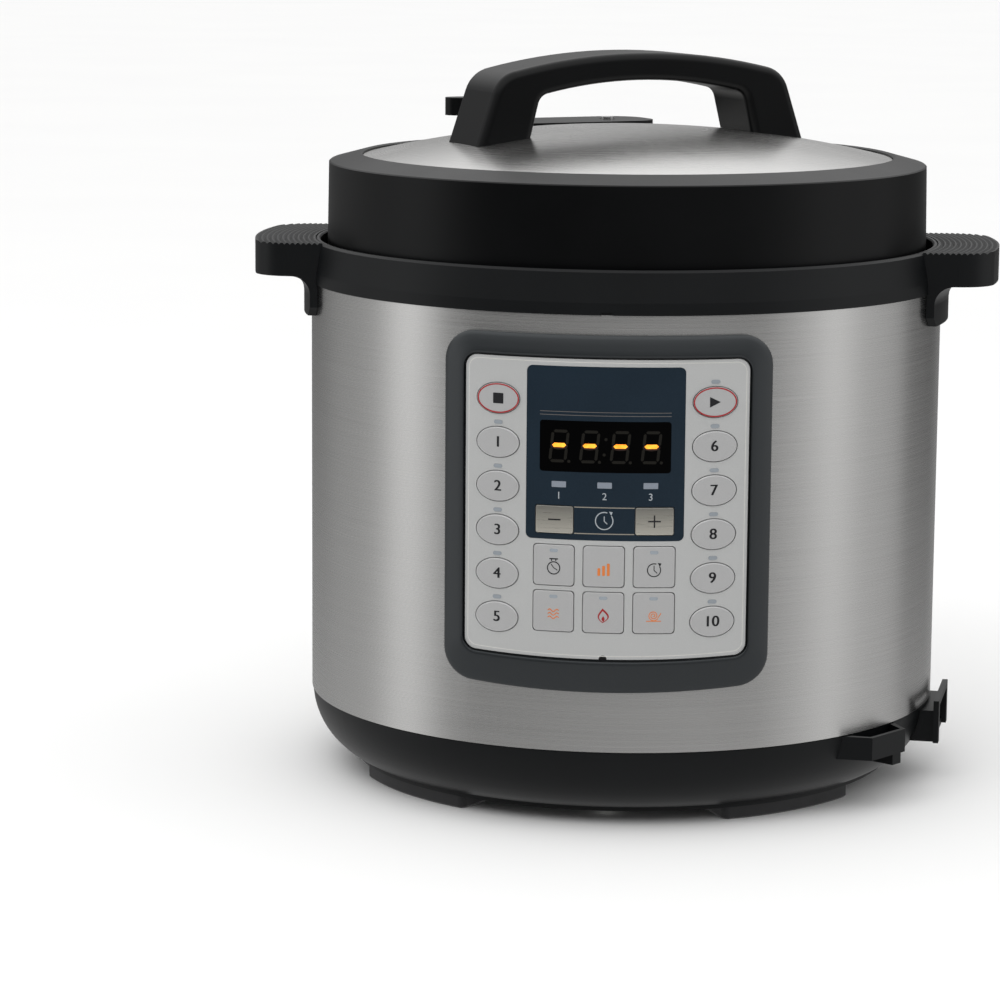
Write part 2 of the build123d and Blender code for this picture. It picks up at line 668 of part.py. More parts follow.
def anti_block_shield():
    """Slotted cap that keeps food out of the steam pipe."""
    x, y = VALVE_XY
    cup = cylinder(11.0, 238.4, 246.0, x, y) - cylinder(10.0, 239.4, 247.0, x, y)
    for angle in range(0, 180, 45):
        cup -= Pos(x, y, 243.0) * Rot(0, 0, angle) * Box(24.0, 3.0, 3.6)
    return cup + tube(1.2, 5.6, 239.4, 246.0, x, y)


def steam_valve():
    """Weighted knob with a lever that turns on the pipe."""
    x, y = VALVE_XY
    knob = cylinder(12.0, 285.4, 300.0, x, y)
    knob = fillet(knob.edges().group_by(Axis.Z)[-1], 2.5)
    lever = Pos(x, y, 288.4) * extrude(Pos(-14.0, 0) * SlotOverall(28.0, 11.0), 8.0)
    knob += lever
    return knob - cylinder(3.56, 280.0, 292.6, x, y)


def float_valve():
    """Pressure indicator pin: it rises when the cooker is under pressure."""
    x, y = FLOAT_XY
    pin = cylinder(3.0, 243.0, 286.0, x, y)
    return pin + cylinder(5.0, 243.0, 245.0, x, y) + cylinder(5.0, 254.8, 256.0, x, y)


def lid_screws():
    """Screws that hold the pressure lid to the lid cover."""
    screws = []
    for angle in LID_SCREW_ANGLES:
        screw = cylinder(4.0, 249.8, 252.4, LID_SCREW_R, 0.0) + cylinder(2.0, 252.4, 267.5, LID_SCREW_R, 0.0)
        screws.append(Rot(0, 0, angle) * screw)
    return side_by_side(screws)


def make_buttons():
    for name, x, height in oval_places():
        save(f"button_{name}", button(x, height, oval(), oval(1.0), OVAL_FACE_R, 0.5))
    for name, x, height in key_places():
        save(f"key_{name}", button(x, height, key_square(), key_square(1.2, GAP), KEY_FACE_R, 0.3))
    for name, x, height in time_key_places():
        save(f"key_{name}", button(x, height, time_key_square(), time_key_square(0.9), TIME_KEY_FACE_R, 0.3))


FIXED_PIECES = {
    "outer_shell": outer_shell,
    "rubber_feet": rubber_feet,
    "base_screws": base_screws,
    "upper_ring": upper_ring,
    "panel_bezel": panel_bezel,
    "panel_fascia": panel_fascia,
    "display_window": display_window,
    "signal_lamps": signal_lamps,
    "led_display": led_display,
    "control_board": control_board,
    "pressure_vessel": pressure_vessel,
    "heat_shield": heat_shield,
    "heating_plate": heating_plate,
    "heating_element": heating_element,
    "sensor_bracket": sensor_bracket,
    "temperature_sensor": temperature_sensor,
    "sensor_spring": sensor_spring,
    "pressure_switch": pressure_switch,
    "thermal_fuse": thermal_fuse,
    "power_board": power_board,
    "side_pocket": side_pocket,
    "accessory_bracket": accessory_bracket,
    "power_inlet": power_inlet,
    "inner_pot": inner_pot,
    "collector_bracket": collector_bracket,
    "condensation_collector": condensation_collector,
    "sealing_ring": sealing_ring,
}

LID_PIECES = {
    "pressure_lid": pressure_lid,
    "lid_cover": lid_cover,
    "lid_cap": lid_cap,
    "lid_handle": lid_handle,
    "gasket_rack": gasket_rack,
    "valve_pipe": valve_pipe,
    "anti_block_shield": anti_block_shield,
    "steam_valve": steam_valve,
    "float_valve": float_valve,
    "lid_screws": lid_screws,
}

os.makedirs("parts", exist_ok=True)
save("base_cover", base_cover() - inlet_block())
for piece, make in FIXED_PIECES.items():
    save(piece, make())
# The lid is written closed but not locked, so it is turned back by the lock angle.
for piece, make in LID_PIECES.items():
    save(piece, Rot(0, 0, LOCK_TURN) * make())
make_buttons()
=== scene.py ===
import json
import math

import bmesh
import bpy
from mathutils import Matrix, Vector


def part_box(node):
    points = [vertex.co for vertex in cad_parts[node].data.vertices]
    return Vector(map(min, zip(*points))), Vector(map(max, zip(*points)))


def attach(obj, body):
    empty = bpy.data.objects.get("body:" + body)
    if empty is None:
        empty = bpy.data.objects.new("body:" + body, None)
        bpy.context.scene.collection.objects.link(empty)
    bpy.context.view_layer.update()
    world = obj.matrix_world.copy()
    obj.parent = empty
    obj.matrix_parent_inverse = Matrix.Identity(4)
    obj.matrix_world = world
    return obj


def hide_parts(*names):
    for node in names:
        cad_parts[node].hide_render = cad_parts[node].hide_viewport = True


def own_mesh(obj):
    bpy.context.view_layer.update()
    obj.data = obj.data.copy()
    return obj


# Looks of an electric pressure cooker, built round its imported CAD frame. Metres, +Z up,
# control panel towards -Y. Small graphics are drawn in millimetres and scaled once, by MM.
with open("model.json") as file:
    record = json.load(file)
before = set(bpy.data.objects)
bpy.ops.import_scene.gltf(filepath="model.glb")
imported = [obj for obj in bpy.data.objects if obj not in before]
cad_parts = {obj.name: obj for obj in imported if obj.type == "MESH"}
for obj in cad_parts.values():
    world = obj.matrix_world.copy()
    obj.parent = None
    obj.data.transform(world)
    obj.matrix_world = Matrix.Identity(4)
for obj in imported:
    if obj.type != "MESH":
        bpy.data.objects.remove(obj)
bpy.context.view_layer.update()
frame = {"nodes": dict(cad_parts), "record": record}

MM = 0.001
NODES = frame["nodes"]
RECORD = frame["record"]
BODY_OF = {n: body for body, names in RECORD["behaviour"]["bodies"].items() for n in names}

OVALS = ("cancel", "rice", "multigrain", "soup", "stew", "poultry",
         "start", "fish", "steam", "beans", "yogurt", "porridge")
KEYS = ("manual", "adjust", "delay", "keep_warm", "sear", "slow_cook")


# ---------------------------------------------------------------- materials

class Finish:
    """One procedural material: a Principled shader and the nodes that feed it."""

    def __init__(self, name, **sockets):
        self.material = bpy.data.materials.new(name)
        self.material.use_nodes = True
        self.tree = self.material.node_tree
        self.shader = self.tree.nodes["Principled BSDF"]
        for socket, value in sockets.items():
            self.shader.inputs[socket.replace("_", " ")].default_value = value
        self.place = self.add("ShaderNodeTexCoord").outputs["Object"]

    def add(self, kind, **settings):
        node = self.tree.nodes.new(kind)
        for key, value in settings.items():
            setattr(node, key, value)
        return node

    def feed(self, value, socket):
        if isinstance(value, bpy.types.NodeSocket):
            self.tree.links.new(value, socket)
        else:
            socket.default_value = value

    def math(self, operation, a, b=0.0, clamp=False):
        node = self.add("ShaderNodeMath", operation=operation, use_clamp=clamp)
        self.feed(a, node.inputs[0])
        self.feed(b, node.inputs[1])
        return node.outputs[0]

    def stretched(self, x, y, z):
        """Object coordinates multiplied along each axis."""
        node = self.add("ShaderNodeMapping")
        self.feed(self.place, node.inputs["Vector"])
        node.inputs["Scale"].default_value = (x, y, z)
        return node.outputs["Vector"]

    def rings(self, scale):
        """Distance from the pot axis, as a coordinate for lathe marks."""
        parts = self.add("ShaderNodeSeparateXYZ")
        self.feed(self.place, parts.inputs[0])
        x, y = parts.outputs["X"], parts.outputs["Y"]
        radius = self.math("SQRT", self.math("ADD", self.math("MULTIPLY", x, x), self.math("MULTIPLY", y, y)))
        joined = self.add("ShaderNodeCombineXYZ")
        self.feed(self.math("MULTIPLY", radius, scale), joined.inputs["X"])
        return joined.outputs[0]

    def noise(self, scale, detail=2.0, rough=0.5, at=None):
        node = self.add("ShaderNodeTexNoise")
        self.feed(at or self.place, node.inputs["Vector"])
        node.inputs["Scale"].default_value = scale
        node.inputs["Detail"].default_value = detail
        node.inputs["Roughness"].default_value = rough
        return node.outputs["Fac"]

    def cells(self, scale, feature="F1", at=None):
        node = self.add("ShaderNodeTexVoronoi", feature=feature)
        self.feed(at or self.place, node.inputs["Vector"])
        node.inputs["Scale"].default_value = scale
        return node.outputs["Distance"]

    def spread(self, factor, low, high, from_low=0.3, from_high=0.7):
        """Maps a texture's middle range onto low..high."""
        node = self.add("ShaderNodeMapRange")
        self.feed(factor, node.inputs["Value"])
        node.inputs["From Min"].default_value = from_low
        node.inputs["From Max"].default_value = from_high
        node.inputs["To Min"].default_value = low
        node.inputs["To Max"].default_value = high
        return node.outputs["Result"]

    def blend(self, factor, first, second):
        node = self.add("ShaderNodeMix", data_type="RGBA")
        self.feed(factor, node.inputs["Factor"])
        self.feed(first, node.inputs[6])
        self.feed(second, node.inputs[7])
        return node.outputs[2]

    def colour(self, factor, first, second):
        self.feed(self.blend(factor, first, second), self.shader.inputs["Base Color"])

    def roughness(self, factor, low, high):
        self.feed(self.spread(factor, low, high), self.shader.inputs["Roughness"])

    def bump(self, height, depth, strength=1.0):
        """Relief whose height texture runs from 0 to 1 over depth metres."""
        node = self.add("ShaderNodeBump")
        node.inputs["Strength"].default_value = strength
        node.inputs["Distance"].default_value = depth
        self.feed(height, node.inputs["Height"])
        self.feed(node.outputs["Normal"], self.shader.inputs["Normal"])


def shade(colour, factor):
    """The same hue, lighter or darker."""
    return tuple(channel * factor for channel in colour[:3]) + (1.0,)


def brushed_steel(name, colour, rough, stretch, stroke=4.0, anisotropic=0.75, contrast=0.07):
    """Steel with fine parallel brushing: short strokes along the long direction of stretch."""
    f = Finish(name, Metallic=1.0, Anisotropic=anisotropic, Anisotropic_Rotation=0.25)
    tangent = f.add("ShaderNodeTangent", direction_type="RADIAL", axis="Z")
    f.feed(tangent.outputs[0], f.shader.inputs["Tangent"])
    fine = f.noise(1.0, 3.0, 0.7, f.stretched(*stretch))
    broad = f.noise(stroke, 2.0)
    both = f.math("ADD", f.math("MULTIPLY", fine, 0.8), f.math("MULTIPLY", broad, 0.2))
    f.colour(f.spread(both, 0.0, 1.0), shade(colour, 1.0 - contrast), shade(colour, 1.0 + contrast))
    f.roughness(both, rough - 0.04, rough + 0.05)
    f.bump(fine, 0.000006, 0.5)
    return f.material


def spun_metal(name, colour, rough, marks=2600.0, metallic=1.0, contrast=0.06):
    """Metal turned about the pot axis, with concentric lathe marks."""
    f = Finish(name, Metallic=metallic)
    marks = f.noise(1.0, 3.0, 0.7, f.rings(marks))
    cloud = f.noise(18.0, 3.0)
    both = f.math("ADD", f.math("MULTIPLY", marks, 0.6), f.math("MULTIPLY", cloud, 0.4))
    f.colour(f.spread(both, 0.0, 1.0), shade(colour, 1.0 - contrast), shade(colour, 1.0 + contrast))
    f.roughness(both, rough - 0.05, rough + 0.06)
    f.bump(marks, 0.00001, 0.4)
    return f.material


def cast_metal(name, colour, rough, grain=420.0, metallic=1.0, depth=0.00008):
    """Cast or blasted metal with an even grain."""
    f = Finish(name, Metallic=metallic)
    grains = f.noise(grain, 4.0, 0.65)
    cloud = f.noise(25.0, 2.0)
    f.colour(f.spread(cloud, 0.0, 1.0), shade(colour, 0.9), shade(colour, 1.08))
    f.roughness(grains, rough - 0.06, rough + 0.08)
    f.bump(grains, depth, 0.5)
    return f.material


def wire_steel(name, colour, rough):
    """Drawn or plated steel for springs, pins and screws."""
    f = Finish(name, Metallic=1.0)
    lines = f.noise(900.0, 2.0, 0.6)
    f.colour(f.spread(lines, 0.0, 1.0), shade(colour, 0.88), shade(colour, 1.06))
    f.roughness(lines, rough - 0.05, rough + 0.08)
    f.bump(lines, 0.00001, 0.4)
    return f.material


def moulded_plastic(name, colour, rough, grain=2600.0, depth=0.000015, specular=0.5, cloudy=0.16, coat=0.0):
    """Moulded plastic with a spark-eroded grain and faint flow clouds."""
    f = Finish(name, Specular_IOR_Level=specular, Coat_Weight=coat, Coat_Roughness=0.12)
    grains = f.noise(grain, 2.0, 0.6)
    cloud = f.noise(22.0, 3.0)
    f.colour(f.spread(cloud, 0.0, 1.0), shade(colour, 1.0 - cloudy), shade(colour, 1.0 + cloudy))
    both = f.math("ADD", f.math("MULTIPLY", grains, 0.6), f.math("MULTIPLY", cloud, 0.4))
    f.roughness(both, rough - 0.05, rough + 0.06)
    f.bump(grains, depth, 0.6)
    return f.material


def flake_paint(name, colour, rough, metallic, flake=5200.0, contrast=0.10, coat=0.0):
    """Metallic paint: small flakes that differ in tone under a satin clear coat."""
    f = Finish(name, Metallic=metallic, Coat_Weight=coat, Coat_Roughness=0.25)
    flakes = f.cells(flake)
    cloud = f.noise(30.0, 2.0)
    both = f.math("ADD", f.math("MULTIPLY", flakes, 0.75), f.math("MULTIPLY", cloud, 0.25))
    f.colour(f.spread(both, 0.0, 1.0, 0.2, 0.8), shade(colour, 1.0 - contrast), shade(colour, 1.0 + contrast))
    f.roughness(f.noise(3800.0), rough - 0.05, rough + 0.05)
    f.bump(f.noise(4200.0), 0.000008, 0.4)
    return f.material


def rubber(name, colour, rough, depth=0.00005):
    """Matt rubber or silicone with a dusty bloom."""
    f = Finish(name, Sheen_Weight=0.15, Sheen_Roughness=0.5)
    pores = f.noise(1500.0, 3.0)
    dust = f.noise(60.0, 4.0, 0.7)
    f.colour(f.spread(dust, 0.0, 1.0), colour, shade(colour, 1.25))
    f.roughness(dust, rough - 0.06, min(rough + 0.08, 1.0))
    f.bump(pores, depth, 0.4)
    return f.material


def clear_plastic(name, colour):
    """Clear moulded plastic with faint flow lines."""
    f = Finish(name, Transmission_Weight=0.85, IOR=1.49)
    flow = f.noise(40.0, 3.0)
    f.colour(f.spread(flow, 0.0, 1.0), shade(colour, 0.95), colour)
    f.roughness(flow, 0.06, 0.14)
    f.bump(flow, 0.0002, 0.15)
    return f.material


def smoked_window(name, colour, specular, coat):
    """Printed polycarbonate lens: a deep ink behind a glossy face."""
    f = Finish(name, Specular_IOR_Level=specular, Coat_Weight=coat, Coat_Roughness=0.12)
    ink = f.noise(1400.0, 3.0)
    cloud = f.noise(35.0, 2.0)
    both = f.math("ADD", f.math("MULTIPLY", ink, 0.5), f.math("MULTIPLY", cloud, 0.5))
    f.colour(f.spread(both, 0.0, 1.0), shade(colour, 0.86), shade(colour, 1.14))
    f.roughness(ink, 0.28, 0.38)
    f.bump(f.noise(90.0, 2.0), 0.00003, 0.3)
    return f.material


def circuit_board_green(name, colour):
    """Solder mask over copper tracks, with tinned pads."""
    f = Finish(name, Coat_Weight=0.4, Coat_Roughness=0.15)
    tracks = f.cells(260.0, "DISTANCE_TO_EDGE", f.stretched(1.0, 1.0, 1.0))
    mask = f.spread(tracks, 1.0, 0.0, 0.02, 0.09)
    speckle = f.noise(900.0, 3.0)
    base = f.blend(mask, shade(colour, 1.0), shade(colour, 1.9))
    f.feed(f.blend(f.spread(speckle, 0.0, 1.0, 0.62, 0.70), base, (0.45, 0.42, 0.36, 1.0)),
           f.shader.inputs["Base Color"])
    f.roughness(speckle, 0.3, 0.45)
    f.bump(mask, 0.00004, 0.5)
    return f.material


def printed_ink(name, colour, rough=0.45, metallic=0.0):
    """Screen-printed ink with the weave of the screen in its surface."""
    f = Finish(name, Metallic=metallic, Specular_IOR_Level=0.3)
    weave = f.noise(6500.0, 2.0)
    f.colour(f.spread(weave, 0.0, 1.0), shade(colour, 0.88), shade(colour, 1.12))
    f.roughness(weave, rough - 0.05, rough + 0.05)
    f.bump(weave, 0.000006, 0.4)
    return f.material


def glowing_bar(name, inner, outer, strength):
    """A lit display segment, its colour blotched between two tones."""
    f = Finish(name, Roughness=0.5)
    blotch = f.noise(420.0, 2.0)
    mixed = f.blend(f.spread(blotch, 0.0, 1.0), inner, outer)
    f.feed(mixed, f.shader.inputs["Base Color"])
    f.feed(mixed, f.shader.inputs["Emission Color"])
    f.shader.inputs["Emission Strength"].default_value = strength
    return f.material


def dished_metal(name, dark, light, low_z, high_z):
    """Warm metal of a shallow dish with its shading painted in: pale towards its lower edge, dark above, as
    soft light would fall.
    """
    f = Finish(name, Metallic=0.7)
    parts = f.add("ShaderNodeSeparateXYZ")
    f.feed(f.place, parts.inputs[0])
    # painted shade: the base colour runs from pale at the key's lower edge to dark at its top, in place of soft
    # light on the dish
    painted_shade = f.spread(parts.outputs["Z"], 1.0, 0.0, low_z, high_z)
    grain = f.noise(1.0, 3.0, 0.7, f.stretched(60.0, 60.0, 3800.0))
    f.colour(f.math("ADD", f.math("MULTIPLY", painted_shade, 0.9), f.math("MULTIPLY", grain, 0.1)), dark, light)
    f.roughness(grain, 0.26, 0.36)
    f.bump(grain, 0.000006, 0.5)
    return f.material


def make_slot_materials():
    """One material for each finish that the record names."""
    return {
        "shell_steel": brushed_steel("brushed_shell_steel", (0.62, 0.615, 0.605), 0.27, (9.0, 9.0, 4200.0)),
        "pot_steel": brushed_steel("spun_pot_steel",
                                   (0.66, 0.65, 0.64), 0.22, (14.0, 14.0, 2600.0), contrast=0.05),
        "cap_steel": spun_metal("turned_cap_steel", (0.62, 0.615, 0.605), 0.26),
        "sheet_steel": cast_metal("galvanised_sheet", (0.55, 0.56, 0.57), 0.38, 60.0, depth=0.00002),
        "vessel_aluminium": brushed_steel("drawn_vessel_aluminium", (0.74, 0.74, 0.73), 0.34,
                                          (20.0, 20.0, 1500.0), anisotropic=0.4),
        "cast_aluminium": cast_metal("cast_plate_aluminium", (0.66, 0.66, 0.65), 0.42),
        "heater_steel": cast_metal("heater_sheath_steel", (0.30, 0.27, 0.25), 0.45, 700.0),
        "spring_steel": wire_steel("spring_steel", (0.50, 0.50, 0.50), 0.3),
        "screw_steel": wire_steel("zinc_plated_screw", (0.62, 0.62, 0.60), 0.33),
        "float_metal": wire_steel("float_pin_metal", (0.72, 0.72, 0.72), 0.25),
        "black_plastic": moulded_plastic("textured_black_plastic",
                                         (0.0030, 0.0036, 0.0042), 0.40, specular=0.24),
        "lid_plastic": moulded_plastic("satin_lid_plastic", (0.0009, 0.0011, 0.0014), 0.34, 3400.0, 0.000008,
                                       specular=0.20),
        "white_plastic": moulded_plastic("white_heatproof_plastic", (0.72, 0.71, 0.68), 0.42, cloudy=0.04),
        "bezel_plastic": flake_paint("dark_metallic_bezel_paint", (0.030, 0.034, 0.037), 0.34, 0.6, coat=0.3),
        "fascia_silver": flake_paint("silver_fascia_paint", (0.50, 0.505, 0.50), 0.40, 0.35, contrast=0.05),
        "key_silver": flake_paint("silver_key_paint", (0.46, 0.46, 0.46), 0.36, 0.35, contrast=0.05),
        # the time keys carry painted shade: dark at the top, pale at the lower edge
        "time_key_metal": dished_metal("time_key_metal_painted_shade",
                                       (0.22, 0.215, 0.195, 1.0), (0.70, 0.67, 0.59, 1.0),
                                       *(corner.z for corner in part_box("key_minus"))),
        "window_navy": smoked_window("navy_window_lens", (0.0095, 0.0185, 0.0290), 0.14, 0.15),
        "display_black": smoked_window("black_display_glass", (0.0006, 0.0006, 0.0007), 0.04, 0.05),
        "lamp_lens": moulded_plastic("frosted_lamp_lens",
                                     (0.24, 0.265, 0.29), 0.4, 3000.0, cloudy=0.06, coat=0.1),
        "circuit_board": circuit_board_green("solder_mask_green", (0.015, 0.075, 0.035)),
        "silicone": rubber("translucent_silicone", (0.62, 0.62, 0.60, 1.0), 0.45),
        "foot_rubber": rubber("black_foot_rubber", (0.012, 0.012, 0.013, 1.0), 0.72),
        "collector_clear": clear_plastic("clear_collector_plastic", (0.92, 0.95, 0.96, 1.0)),
    }


def dress_frame(finishes):
    """Gives every CAD node the finish of its slot."""
    for row in RECORD["subparts"]:
        mesh = NODES[row["node"]].data
        mesh.materials.clear()
        mesh.materials.append(finishes[row["material_slot"]])


# ---------------------------------------------------------------- panel graphics

PRINT_LIFT = 0.03       # how far print stands off its surface, mm
PRINT_THICK = 0.04
WRAP_STEP = 2.0         # widest flat strip in a wrapped graphic, mm


def face_radius(node):
    """Radius of a panel piece's front about the pot axis, mm."""
    return max(math.hypot(v.co.x, v.co.y) for v in NODES[node].data.vertices) / MM


def place_of(node):
    """Where a panel piece's middle is, x and height, mm."""
    low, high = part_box(node)
    return (low.x + high.x) / 2 / MM, (low.z + high.z) / 2 / MM


def arc(cx, cy, rx, ry, start, end, steps):
    """Points on an ellipse's arc, angles in degrees."""
    points = []
    for i in range(steps + 1):
        a = math.radians(start + (end - start) * i / steps)
        points.append((cx + rx * math.cos(a), cy + ry * math.sin(a)))
    return points


def loop_ellipse(rx, ry, cx=0.0, cy=0.0, steps=48):
    return arc(cx, cy, rx, ry, 0.0, 360.0, steps)[:-1]


def loop_rectangle(w, h, r, cx=0.0, cy=0.0, sag=0.0):
    """A rounded rectangle; sag bulges its lower edge downwards."""
    x, y = w / 2 - r, h / 2 - r
    points = arc(cx + x, cy + y, r, r, 0, 90, 8) + arc(cx - x, cy + y, r, r, 90, 180, 8)
    points += arc(cx - x, cy - y, r, r, 180, 270, 8)
    if sag:
        count = 32
        for i in range(1, count):
            t = -x + 2 * x * i / count
            points.append((cx + t, cy - h / 2 - sag * (1 - (t / x) ** 2)))
    return points + arc(cx + x, cy - y, r, r, 270, 360, 8)


def loop_stroke(points, width):
    """The outline of an open line of the given width, with round-ish ends."""
    left, right = [], []
    for i, (x, y) in enumerate(points):
        x0, y0 = points[max(i - 1, 0)]
        x1, y1 = points[min(i + 1, len(points) - 1)]
        length = math.hypot(x1 - x0, y1 - y0) or 1.0
        nx, ny = -(y1 - y0) / length * width / 2, (x1 - x0) / length * width / 2
        left.append((x + nx, y + ny))
        right.append((x - nx, y - ny))
    return left + right[::-1]


def ring(outer, inner):
    """Two loops that fill as a band."""
    return [outer, inner]


def flat_shape(loops):
    """A thin filled mesh, in millimetres, of loops that cut each other out."""
    curve = bpy.data.curves.new("print", "CURVE")
    curve.dimensions = "2D"
    curve.fill_mode = "BOTH"
    curve.extrude = PRINT_THICK / 2
    for points in loops:
        spline = curve.splines.new("POLY")
        spline.points.add(len(points) - 1)
        for point, (x, y) in zip(spline.points, points):
            point.co = (x, y, 0.0, 1.0)
        spline.use_cyclic_u = True
    return solid_of(curve)


def flat_text(text, height, width=None):
    """A thin mesh of one line of lettering, in millimetres, no wider than width."""
    curve = bpy.data.curves.new("label", "FONT")
    curve.body = text
    curve.size = height / 0.69
    curve.align_x = "CENTER"
    curve.align_y = "CENTER"
    curve.extrude = PRINT_THICK / 2
    curve.resolution_u = 5
    mesh = solid_of(curve)
    span = max(v.co.x for v in mesh.vertices) - min(v.co.x for v in mesh.vertices)
    if width and span > width:
        mesh.transform(Matrix.Diagonal((width / span, 1.0, 1.0, 1.0)))
    return mesh


def bold_text(text, height, width, weight):
    """Art for one line of heavy lettering: copies side by side, each a hair higher."""
    return [(flat_text(text, height + i * 0.004, width), (i - 1) * weight, 0.0) for i in range(3)]


def solid_of(curve):
    """The mesh that Blender makes of a curve or text."""
    helper = bpy.data.objects.new("helper", curve)
    mesh = bpy.data.meshes.new_from_object(helper)
    bpy.data.objects.remove(helper)
    bpy.data.curves.remove(curve)
    return mesh


def printed(name, body, art, at, radius, material, lift=PRINT_LIFT):
    """Joins flat art, wraps it onto the panel's curve and lets it ride on a body."""
    work = bmesh.new()
    for mesh, dx, dy in art:
        mesh.transform(Matrix.Translation((dx, dy, 0.0)))
        work.from_mesh(mesh)
        bpy.data.meshes.remove(mesh)
    bmesh.ops.remove_doubles(work, verts=work.verts, dist=0.0005)
    low = min(v.co.x for v in work.verts)
    high = max(v.co.x for v in work.verts)
    for i in range(1, int((high - low) / WRAP_STEP) + 1):
        whole = work.verts[:] + work.edges[:] + work.faces[:]
        bmesh.ops.bisect_plane(work, geom=whole, dist=1e-5, plane_co=(low + i * WRAP_STEP, 0, 0),
                               plane_no=(1, 0, 0))
    for v in work.verts:
        x = v.co.x + at[0]
        r = radius + lift + v.co.z
        v.co = Vector((x, -math.sqrt(r * r - x * x), v.co.y + at[1])) * MM
    bmesh.ops.recalc_face_normals(work, faces=work.faces)
    mesh = bpy.data.meshes.new(name)
    work.to_mesh(mesh)
    work.free()
    mesh.materials.append(material)
    piece = bpy.data.objects.new(name, mesh)
    bpy.context.scene.collection.objects.link(piece)
    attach(piece, body)
    return piece


def print_key(name, node, art, material, at=None):
    return printed(name, BODY_OF[node], art, at or place_of(node), face_radius(node), material)


# Print on the keys, mm
NUMBER_H = 4.4
NUMBER_W = 14.8         # widest that a number may be
NUMBER_WEIGHT = 0.16    # sideways step between a number's copies
SIGN_HALF = 2.2
RIM_INSETS = (0.15, 0.72)
ICON_RISE = -1.2
PILL_W = 3.5
PILL_H = 1.4
PILL_RISE = 6.2
PLUS_REACH = 2.6
PLUS_THICK = 0.6


def label_ovals(inks):
    """A number on each programme button; stop and start have a square or an arrow and a red ring."""
    number = 0
    for name in OVALS:
        node = f"button_{name}"
        if name == "cancel":
            art = [(flat_shape([loop_rectangle(2 * SIGN_HALF, 2 * SIGN_HALF, 0.3)]), 0.0, 0.0)]
        elif name == "start":
            arrow = [(-SIGN_HALF, -SIGN_HALF), (SIGN_HALF, 0.0), (-SIGN_HALF, SIGN_HALF)]
            art = [(flat_shape([arrow]), 0.0, 0.0)]
        else:
            number += 1
            art = bold_text(str(number), NUMBER_H, NUMBER_W, NUMBER_WEIGHT)
        print_key(f"label_{name}", node, art, inks["black"])
        rx, ry = oval_radii(node)
        if name in ("cancel", "start"):
            outer, inner = [loop_ellipse(rx - inset, ry - inset) for inset in RIM_INSETS]
            band = ring(outer, inner)
            print_key(f"rim_{name}", node, [(flat_shape(band), 0.0, 0.0)], inks["red"])


def oval_radii(node):
    """Half width and half height of an oval's face, mm, from its widest points near the front."""
    mid_x, mid_z = place_of(node)
    least = (face_radius(node) - 2.0) * MM
    front = [v.co for v in NODES[node].data.vertices if math.hypot(v.co.x, v.co.y) > least]
    rx = max(abs(p.x / MM - mid_x) for p in front)
    rz = max(abs(p.z / MM - mid_z) for p in front)
    return rx, rz


def icon_timer(r):
    """A stopwatch: dial, crown and two hands."""
    return [flat_shape(ring(loop_ellipse(r, r), loop_ellipse(r - 0.45, r - 0.45))),
            flat_shape([loop_stroke([(-1.8, r + 1.05), (1.8, r + 1.05)], 0.5)]),
            flat_shape([loop_stroke([(-0.9, r + 0.1), (-0.9, r + 0.9)], 0.4)]),
            flat_shape([loop_stroke([(0.9, r + 0.1), (0.9, r + 0.9)], 0.4)]),
            flat_shape([loop_stroke([(0.0, 0.1), (-1.1, 1.6)], 0.36)]),
            flat_shape([loop_stroke([(0.0, 0.1), (1.6, -0.9)], 0.36)])]


def icon_clock(r):
    """A clock face whose ring breaks off in an arrow head."""
    dial = loop_stroke(arc(0, 0, r, r, 35, -290, 40), 0.42)
    head = [(r * 0.55, r + 0.35), (r * 0.55 + 1.5, r + 0.1), (r * 0.55 + 0.9, r - 1.35)]
    return [flat_shape([dial]), flat_shape([head]),
            flat_shape([loop_stroke([(0.0, 1.9), (0.0, -0.1)], 0.36)]),
            flat_shape([loop_stroke([(0.0, -0.1), (1.3, -1.3)], 0.36)])]


def icon_bars():
    """Three rising bars."""
    bars = []
    for i in range(3):
        height = 3.2 + i * 1.0
        bars.append(flat_shape([loop_rectangle(1.15, height, 0.3, (i - 1) * 1.95, height / 2 - 2.6)]))
    return bars


def icon_waves():
    """Three warm-air waves."""
    waves = []
    for i in range(3):
        points = [(-2.3 + 4.6 * t / 24, 0.5 * math.sin(t / 24 * 3 * math.pi)) for t in range(25)]
        waves.append(flat_shape([loop_stroke([(x, y + 1.5 - i * 1.5) for x, y in points], 0.42)]))
    return waves


def icon_flame():
    """A flame outline with a smaller tongue inside."""
    def tongue(w, h, lean):
        shares = [i / 14 for i in range(15)]
        side = [(w * math.sin(math.pi * t) * (1 - 0.45 * t), h * (t - 0.5)) for t in shares]
        right = [(x + lean * (y / h) ** 2, y) for x, y in side]
        left = [(-x * 0.9 + lean * (y / h) ** 2, y) for x, y in reversed(side)]
        return right + left[1:-1]
    outer = tongue(3.1, 6.2, -0.9)
    inner = tongue(2.35, 4.7, -0.7)
    small = tongue(0.85, 2.4, 0.4)
    return [flat_shape([outer, [(x, y - 0.35) for x, y in inner], [(x, y - 1.3) for x, y in small]])]


def icon_spiral():
    """A slow spiral on a base line."""
    points = []
    for i in range(61):
        a = math.radians(i * 13.0 - 90.0)
        r = 0.35 + 1.85 * i / 60
        points.append((r * math.cos(a), r * math.sin(a) + 0.2))
    return [flat_shape([loop_stroke(points, 0.36)]),
            flat_shape([loop_stroke([(-3.0, -2.1), (3.2, -2.1)], 0.36)]),
            flat_shape([loop_stroke([(1.9, -0.6), (2.5, 0.2), (3.1, 1.3)], 0.36)])]


ICONS = {
    "manual": (lambda: icon_timer(2.8), "black"),
    "adjust": (icon_bars, "orange"),
    "delay": (lambda: icon_clock(2.7), "black"),
    "keep_warm": (icon_waves, "orange"),
    "sear": (icon_flame, "red"),
    "slow_cook": (icon_spiral, "orange"),
}


